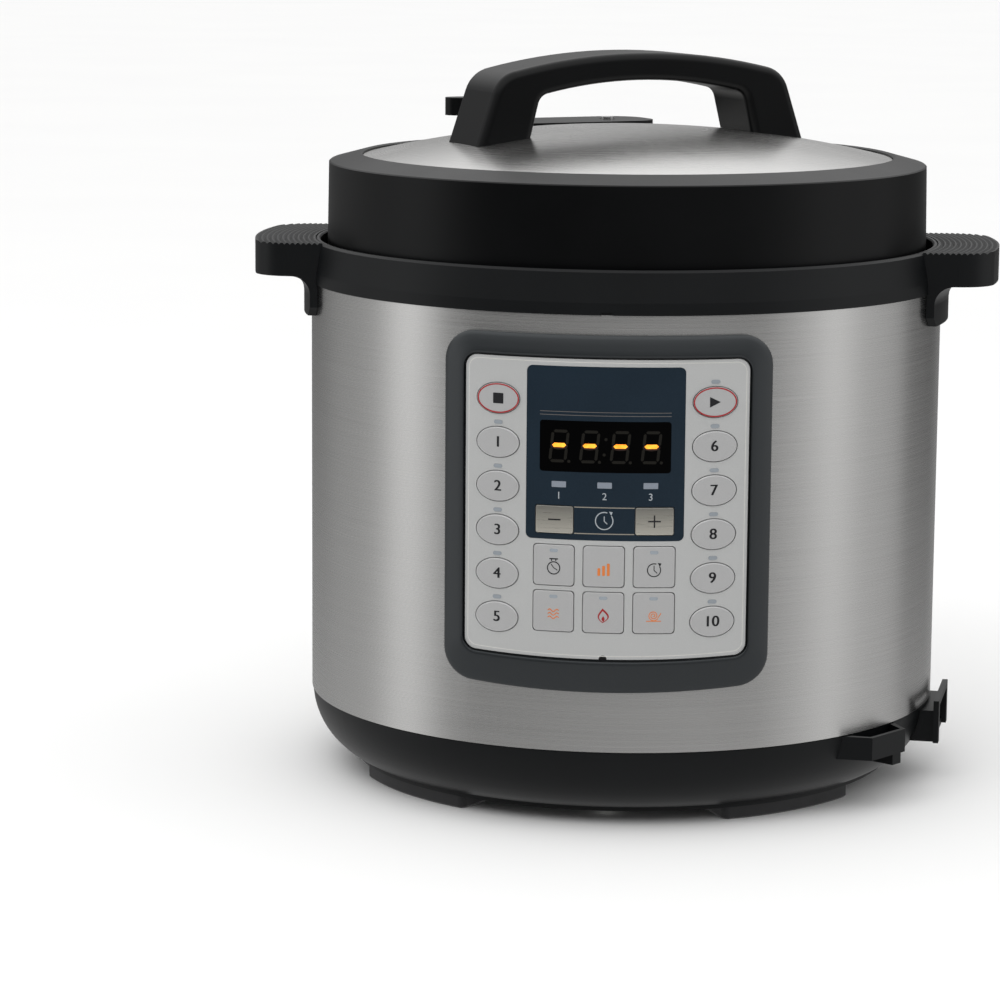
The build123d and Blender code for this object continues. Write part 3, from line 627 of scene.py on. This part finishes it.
def label_keys(inks):
    """Icon and lamp pill on each square key."""
    for name in KEYS:
        node = f"key_{name}"
        make_icon, ink = ICONS[name]
        print_key(f"icon_{name}", node, [(mesh, 0.0, ICON_RISE) for mesh in make_icon()], inks[ink])
        if name != "adjust":
            pill = [(flat_shape([loop_rectangle(PILL_W, PILL_H, PILL_H / 2 - 0.01)]), 0.0, PILL_RISE)]
            print_key(f"pill_{name}", node, pill, inks["lamp"])


def label_time_keys(inks):
    """Minus and plus signs."""
    bar = loop_stroke([(-PLUS_REACH, 0.0), (PLUS_REACH, 0.0)], PLUS_THICK)
    upright = loop_stroke([(0.0, -PLUS_REACH), (0.0, PLUS_REACH)], PLUS_THICK)
    print_key("sign_minus", "key_minus", [(flat_shape([bar]), 0.0, 0.0)], inks["black"])
    plus = [(flat_shape([line]), 0.0, 0.0) for line in (bar, upright)]
    print_key("sign_plus", "key_plus", plus, inks["black"])


# Window and display, mm; heights are above the steel shell's lower edge
DISPLAY_W = 54.2
DISPLAY_H = 21.3
DISPLAY_UP = 129.25
LEVEL_BAR_UP = 113.3
LEVEL_NUMBER_UP = 108.5
LINES_UP = (143.6, 142.2)
TIME_CLOCK_UP = 98.5
FASCIA_SAG = 1.4
DIGIT_PITCH = 12.7
DIGIT_H = 14.2
DIGIT_W = 8.1
SLANT = math.tan(math.radians(6.0))
SEGMENT = 1.75          # thickness of a segment
GHOST = 1.2             # thickness of an unlit one, as it shows through the glass


def bar_loop(length, thick, cx, cy, upright=False):
    """A six-sided display segment, leaning as the digits do."""
    half, t = length / 2, thick / 2
    points = [(-half, 0), (-half + t, t), (half - t, t), (half, 0), (half - t, -t), (-half + t, -t)]
    if upright:
        points = [(y, x) for x, y in points]
    return [(x + cx + (y + cy) * SLANT, y + cy) for x, y in points]


def display_graphics(inks, finishes, panel_r, low):
    """Black glass, ghost digits, one lit bar in each, and a painted glow round each lit bar."""
    centre = low + DISPLAY_UP
    glass = [(flat_shape([loop_rectangle(DISPLAY_W, DISPLAY_H, 1.3)]), 0.0, 0.0)]
    printed("display_glass", "housing", glass, (0.0, centre), panel_r, finishes["display_black"])
    ghost, lit = [], []
    for i in range(4):
        x = (i - 1.5) * DIGIT_PITCH
        quarter = DIGIT_H / 4 - 0.35
        for side in (-1, 1):
            ghost.append(bar_loop(DIGIT_W - SEGMENT - 0.5, GHOST, x, side * (DIGIT_H - SEGMENT) / 2))
            for up in (-1, 1):
                ghost.append(bar_loop(DIGIT_H / 2 - 1.9, GHOST, x + side * (DIGIT_W - SEGMENT) / 2,
                                      up * quarter, True))
        lit.append(bar_loop(DIGIT_W - SEGMENT - 0.5, SEGMENT, x, 0.4))
    for y in (-3.2, 3.2):
        ghost.append([(px + y * SLANT, py + y) for px, py in loop_ellipse(0.65, 0.65, steps=16)])
    for i in range(4):
        x = (i - 1.5) * DIGIT_PITCH + DIGIT_W / 2 + 0.8 - DIGIT_H / 2 * SLANT
        ghost.append(loop_ellipse(0.65, 0.65, x, -DIGIT_H / 2 + 0.8, 16))
    above = PRINT_LIFT + PRINT_THICK
    printed("ghost_segments", "housing", [(flat_shape([l]), 0.0, 0.0) for l in ghost], (0.0, centre), panel_r,
            inks["ghost"], lift=above)
    printed("lit_segments", "housing", [(flat_shape([l]), 0.0, 0.0) for l in lit], (0.0, centre), panel_r,
            inks["lit"], lift=above)
    # painted glow: dim emissive patches round each lit bar stand in for the light the segments spread in the
    # glass
    painted_glow = [(flat_shape([loop_ellipse(3.6, 1.4)]), (i - 1.5) * DIGIT_PITCH, 0.0) for i in range(4)]
    printed("segment_glow", "housing", painted_glow, (0.0, centre), panel_r, inks["painted_glow"], lift=above - 0.02)


def window_graphics(inks, panel_r, low):
    """Level bars with their numbers, the double line, and the clock between the time keys."""
    bars = [(flat_shape([loop_rectangle(6.0, 2.5, 0.25)]), (i - 1) * 19.0, 0.0) for i in range(3)]
    printed("level_bars", "housing", bars, (0.0, low + LEVEL_BAR_UP), panel_r, inks["bar"])
    captions = [(flat_text(str(i + 1), 2.9), (i - 1) * 19.0, 0.0) for i in range(3)]
    printed("level_numbers", "housing", captions, (0.0, low + LEVEL_NUMBER_UP), panel_r, inks["pale"])
    for i, height in enumerate(LINES_UP):
        line = [(flat_shape([loop_rectangle(DISPLAY_W, 0.22, 0.1)]), 0.0, 0.0)]
        printed(f"window_line_{i + 1}", "housing", line, (0.0, low + height), panel_r, inks["faint"])
    caption = [(mesh, 0.0, 0.0) for mesh in icon_clock(3.6)]
    printed("time_clock", "housing", caption, (0.0, low + TIME_CLOCK_UP), panel_r, inks["pale"])
    strips = [(flat_shape([loop_rectangle(25.0, 0.4, 0.15)]), 0.0, side * 5.5) for side in (-1, 1)]
    printed("time_strip", "housing", strips, (0.0, low + TIME_CLOCK_UP), panel_r, inks["beige"])


# Fascia and the frame round it, mm; radii are about the pot axis
FASCIA_R = 142.0
GROOVE_R = 140.8
BORDER_INSET = 1.2
BORDER_W = 0.25
# radius of the black disc of painted shade in the fascia's lower notch, mm
NOTCH_SHADE_R = 1.6
BEZEL_SAG = 1.8
BEZEL_CORNER = 13.0
BEZEL_INNER_CORNER = 6.0
BEZEL_INNER_GAP = 1.0   # from the fascia's edge to the bezel's inner edge
LEDGE_CORNER = 5.1
LEDGE_GAP = 0.1
BEZEL_BACK_R = 140.06
# Section of the bezel: share of the way from its outer to its inner edge, and radius
BEZEL_SECTION = ((0.0, BEZEL_BACK_R), (0.0, 140.9), (0.03, 141.35), (0.08, 141.65), (0.2, 142.0), (0.45, 142.5),
                 (0.7, 142.95), (0.88, 143.25), (0.95, 143.3), (1.0, 143.0), (1.0, 140.85))
SHARP_EDGE = math.radians(40.0)


def fascia_size():
    """Width, height without the bulge, and the middle's height of the fascia, mm."""
    low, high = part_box("panel_fascia")
    bottom = low.z / MM + FASCIA_SAG
    return (high.x - low.x) / MM, high.z / MM - bottom, (high.z / MM + bottom) / 2


def fascia_graphics(inks):
    """The thin line just inside the fascia's edge, and a black disc of painted shade in its lower notch."""
    width, height, middle = fascia_size()
    outer, inner = 2 * BORDER_INSET, 2 * (BORDER_INSET + BORDER_W)
    band = ring(loop_rectangle(width - outer, height - outer, 4.2, sag=FASCIA_SAG),
                loop_rectangle(width - inner, height - inner, 4.0, sag=FASCIA_SAG))
    border = [(flat_shape(band), 0.0, 0.0)]
    printed("fascia_border", "housing", border, (0.0, middle), FASCIA_R, inks["border"])
    # painted shade: a black ink disc put in the fascia's lower notch, where the notch shows shade
    notch_shade = [(flat_shape([loop_ellipse(NOTCH_SHADE_R, NOTCH_SHADE_R)]), 0.0, 0.0)]
    printed("notch_painted_shade", "housing", notch_shade, (0.0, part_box("panel_fascia")[0].z / MM), GROOVE_R, inks["black"])


def bezel_frame(finishes):
    """The sloping dark frame round the fascia, with the ledge that closes the groove between them."""
    width, height, middle = fascia_size()
    low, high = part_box("panel_bezel")
    bottom, top = low.z / MM + BEZEL_SAG, high.z / MM
    outer = loop_rectangle((high.x - low.x) / MM, top - bottom, BEZEL_CORNER,
                           0.0, (bottom + top) / 2, BEZEL_SAG)
    inner, ledge = [loop_rectangle(width + 2 * gap, height + 2 * gap, corner, 0.0, middle, FASCIA_SAG)
                    for gap, corner in ((BEZEL_INNER_GAP, BEZEL_INNER_CORNER), (LEDGE_GAP, LEDGE_CORNER))]
    section = [([(x0 + (x1 - x0) * t, z0 + (z1 - z0) * t) for (x0, z0), (x1, z1) in zip(outer, inner)], r)
               for t, r in BEZEL_SECTION]
    section += [(ledge, GROOVE_R), (ledge, BEZEL_BACK_R)]
    counts = []
    for i, (x, z) in enumerate(outer):
        nx, nz = outer[(i + 1) % len(outer)]
        counts.append(max(1, round(math.hypot(nx - x, nz - z) / WRAP_STEP)))
    points = []
    for loop, r in section:
        for i, (x, z) in enumerate(loop):
            nx, nz = loop[(i + 1) % len(loop)]
            for k in range(counts[i]):
                px, pz = x + (nx - x) * k / counts[i], z + (nz - z) * k / counts[i]
                points.append(Vector((px, -math.sqrt(r * r - px * px), pz)) * MM)
    n = sum(counts)
    faces = []
    for i in range(len(section)):
        a, b = i * n, (i + 1) % len(section) * n
        faces += [(a + k, a + (k + 1) % n, b + (k + 1) % n, b + k) for k in range(n)]
    piece = coded_solid("bezel_frame", points, faces, finishes, "bezel_plastic")
    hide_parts("panel_bezel")


def coded_solid(name, points, faces, finishes, slot):
    """A closed solid on the housing, smooth apart from its sharp edges."""
    mesh = bpy.data.meshes.new(name)
    mesh.from_pydata(points, [], faces)
    work = bmesh.new()
    work.from_mesh(mesh)
    bmesh.ops.recalc_face_normals(work, faces=work.faces)
    for face in work.faces:
        face.smooth = True
    for edge in work.edges:
        edge.smooth = edge.calc_face_angle(0.0) < SHARP_EDGE
    work.to_mesh(mesh)
    work.free()
    mesh.materials.append(finishes[slot])
    piece = bpy.data.objects.new(name, mesh)
    bpy.context.scene.collection.objects.link(piece)
    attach(piece, "housing")
    return piece


# Sensor spring, mm
COIL_R = 7.5            # to the middle of the wire
COIL_PITCH = 3.1
COIL_TURNS = 4
COIL_STEPS = 32         # steps in one turn
COIL_FOOT = 41.5        # height of the strap that the spring stands on
COIL_GAP = 0.1          # keeps the wire just clear of the strap
WIRE_R = 0.7
WIRE_SIDES = 10


def coil_spring(finishes):
    """The sensor's coil spring, a fixed coil on the housing; the real one shortens as the sensor is pressed
    down.
    """
    steps = COIL_TURNS * COIL_STEPS
    points, faces = [], []
    for i in range(steps + 1):
        turn = 2 * math.pi * i / COIL_STEPS
        out = Vector((math.cos(turn), math.sin(turn), 0.0))
        along = Vector((-out.y * COIL_R, out.x * COIL_R, COIL_PITCH / 2 / math.pi)).normalized()
        up = along.cross(out)
        rise = Vector((0.0, 0.0, COIL_FOOT + COIL_GAP + WIRE_R + COIL_PITCH * i / COIL_STEPS))
        for k in range(WIRE_SIDES):
            a = 2 * math.pi * k / WIRE_SIDES
            points.append((rise + out * (COIL_R + WIRE_R * math.cos(a)) + up * WIRE_R * math.sin(a)) * MM)
    for i in range(steps):
        for k in range(WIRE_SIDES):
            a, b = i * WIRE_SIDES + k, i * WIRE_SIDES + (k + 1) % WIRE_SIDES
            faces.append((a, b, b + WIRE_SIDES, a + WIRE_SIDES))
    faces.append(tuple(range(WIRE_SIDES)))
    faces.append(tuple(steps * WIRE_SIDES + k for k in range(WIRE_SIDES)))
    piece = coded_solid("coil_spring", points, faces, finishes, "spring_steel")
    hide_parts("sensor_spring")
    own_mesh(piece)


def make_inks():
    return {
        "black": printed_ink("black_ink", (0.012, 0.012, 0.014)),
        "grey": printed_ink("dark_grey_ink", (0.035, 0.037, 0.042)),
        "red": printed_ink("dark_red_ink", (0.30, 0.012, 0.016)),
        "orange": printed_ink("orange_ink", (0.60, 0.17, 0.035)),
        "pale": printed_ink("pale_grey_ink", (0.33, 0.36, 0.385)),
        "bar": printed_ink("blue_grey_ink", (0.20, 0.225, 0.265)),
        "faint": printed_ink("warm_grey_ink", (0.13, 0.12, 0.115)),
        "beige": printed_ink("beige_strip_ink", (0.24, 0.22, 0.185)),
        "border": printed_ink("light_border_ink", (0.62, 0.61, 0.58)),
        "lamp": printed_ink("lamp_grey_ink", (0.27, 0.30, 0.33)),
        "ghost": printed_ink("unlit_segment", (0.0062, 0.0052, 0.0030)),
        "lit": glowing_bar("lit_segment", (1.0, 0.40, 0.03, 1.0), (1.0, 0.25, 0.008, 1.0), 0.95),
        # painted glow round the lit bars
        "painted_glow": glowing_bar("segment_painted_glow", (0.016, 0.0032, 0.0003, 1.0), (0.006, 0.001, 0.0001, 1.0), 0.3),
    }


# ---------------------------------------------------------------- stage, light and camera

def make_floor():
    """A plain pale floor. Steel and gloss mirror the studio's walls instead of it."""
    f = Finish("pale_floor", Roughness=0.75, Specular_IOR_Level=0.1)
    f.colour(f.noise(3.0, 3.0), (0.80, 0.80, 0.80, 1.0), (0.83, 0.83, 0.825, 1.0))
    mesh = bpy.data.meshes.new("floor")
    reach = 14.0
    mesh.from_pydata([(-reach, -reach, 0), (reach, -reach, 0), (reach, reach, 0), (-reach, reach, 0)], [],
                     [(0, 1, 2, 3)])
    mesh.materials.append(f.material)
    floor = bpy.data.objects.new("floor", mesh)
    bpy.context.scene.collection.objects.link(floor)
    floor.visible_glossy = False


# Brightness of the studio's walls, by azimuth in degrees from the viewer's side (-Y), right is positive
WALLS = ((-180, 0.35), (-165, 0.17), (-150, 0.16), (-138, 0.19), (-125, 0.28), (-109, 0.34), (-100, 0.41),
         (-93, 0.62), (-86, 0.95), (-79, 1.05), (-71, 0.72), (-64, 0.30), (-56, 0.08), (-48, 0.02),
         (-25, 0.04), (-3, 0.09), (30, 0.16), (52, 0.15), (62, 0.38), (70, 0.56), (77, 0.76), (84, 0.92),
         (91, 0.76), (99, 0.55), (112, 0.46), (120, 0.38), (129, 0.12), (153, 0.08), (180, 0.35))
OVERHEAD = 1.35
TABLE = 0.54            # brightness below the horizon, as of a pale table in front


def grey(level):
    """A world colour; it is halved because a ramp's colours stop at 1, and the background doubles it."""
    return (level / 2, level / 2, level / 2, 1.0)


def make_studio():
    """Walls with soft light banks and dark flags all round, and a soft ceiling."""
    world = bpy.data.worlds.new("studio")
    bpy.context.scene.world = world
    world.use_nodes = True
    tree = world.node_tree
    new, link = tree.nodes.new, tree.links.new
    background = tree.nodes["Background"]
    parts = new("ShaderNodeSeparateXYZ")
    link(new("ShaderNodeTexCoord").outputs["Generated"], parts.inputs[0])
    flip = new("ShaderNodeMath")
    flip.operation = "MULTIPLY"
    flip.inputs[1].default_value = -1.0
    link(parts.outputs["Y"], flip.inputs[0])
    angle = new("ShaderNodeMath")
    angle.operation = "ARCTAN2"
    link(parts.outputs["X"], angle.inputs[0])
    link(flip.outputs[0], angle.inputs[1])
    share = new("ShaderNodeMapRange")
    share.inputs["From Min"].default_value = -math.pi
    share.inputs["From Max"].default_value = math.pi
    link(angle.outputs[0], share.inputs["Value"])
    ramp = new("ShaderNodeValToRGB")
    marks = ramp.color_ramp.elements
    while len(marks) < len(WALLS):
        marks.new(0.5)
    for mark, (azimuth, level) in zip(marks, WALLS):
        mark.position = azimuth / 360.0 + 0.5
        mark.color = grey(level)
    link(share.outputs["Result"], ramp.inputs["Fac"])

    def mixed(factor, first, second):
        node = new("ShaderNodeMix")
        node.data_type = "RGBA"
        link(factor, node.inputs["Factor"])
        link(first, node.inputs[6])
        node.inputs[7].default_value = grey(second)
        return node.outputs[2]

    def rise(start, end):
        node = new("ShaderNodeMapRange")
        node.interpolation_type = "SMOOTHSTEP"
        node.inputs["From Min"].default_value = start
        node.inputs["From Max"].default_value = end
        link(parts.outputs["Z"], node.inputs["Value"])
        return node.outputs["Result"]

    with_ceiling = mixed(rise(0.12, 0.60), ramp.outputs["Color"], OVERHEAD)
    with_table = mixed(rise(-0.10, -0.33), with_ceiling, TABLE)
    seen = mixed(new("ShaderNodeLightPath").outputs["Is Camera Ray"], with_table, 1.0)
    link(seen, background.inputs["Color"])
    background.inputs["Strength"].default_value = 2.0


# The viewer, degrees and metres: x and y before the turn, and height above the steel shell's lower edge
LENS = 131.58
SENSOR = 36.0
CAMERA_AT = (-0.0554, -1.6257)
CAMERA_UP = 0.3604
CAMERA_TURN = 5.0
CAMERA_DOWN = 9.69
CAMERA_ROLL = 0.41


def make_camera():
    """The viewer stands in front, a little to the left of the pot's middle, and looks slightly down."""
    data = bpy.data.cameras.new("camera")
    data.lens = LENS
    data.sensor_width = SENSOR
    data.clip_start = 0.05
    data.clip_end = 60.0
    camera = bpy.data.objects.new("camera", data)
    bpy.context.scene.collection.objects.link(camera)
    turn = Matrix.Rotation(math.radians(CAMERA_TURN), 4, "Z")
    camera.location = turn @ Vector((*CAMERA_AT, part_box("outer_shell")[0].z + CAMERA_UP))
    tilt = Matrix.Rotation(math.radians(90.0 - CAMERA_DOWN), 4, "X")
    roll = Matrix.Rotation(math.radians(CAMERA_ROLL), 4, "Z")
    camera.rotation_euler = (turn @ tilt @ roll).to_euler()
    bpy.context.scene.camera = camera


def make_lights():
    """A large soft panel in front and above, for gentle shaping of the plastics."""
    data = bpy.data.lights.new("front_panel", "AREA")
    data.shape = "RECTANGLE"
    data.size = 1.6
    data.size_y = 0.8
    data.energy = 13.0
    light = bpy.data.objects.new("front_panel", data)
    light.location = (-0.5, -1.5, 1.7)
    light.rotation_euler = (Vector((0.0, 0.0, 0.15)) - light.location).to_track_quat("-Z", "Y").to_euler()
    light.visible_camera = False
    light.visible_glossy = False
    bpy.context.scene.collection.objects.link(light)


finishes = make_slot_materials()
dress_frame(finishes)
inks = make_inks()
panel_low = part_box("outer_shell")[0].z / MM
window_r = face_radius("display_window")
label_ovals(inks)
label_keys(inks)
label_time_keys(inks)
display_graphics(inks, finishes, window_r, panel_low)
window_graphics(inks, window_r, panel_low)
fascia_graphics(inks)
bezel_frame(finishes)
coil_spring(finishes)
make_floor()
make_studio()
make_lights()
make_camera()
bpy.context.scene.view_settings.view_transform = "Standard"
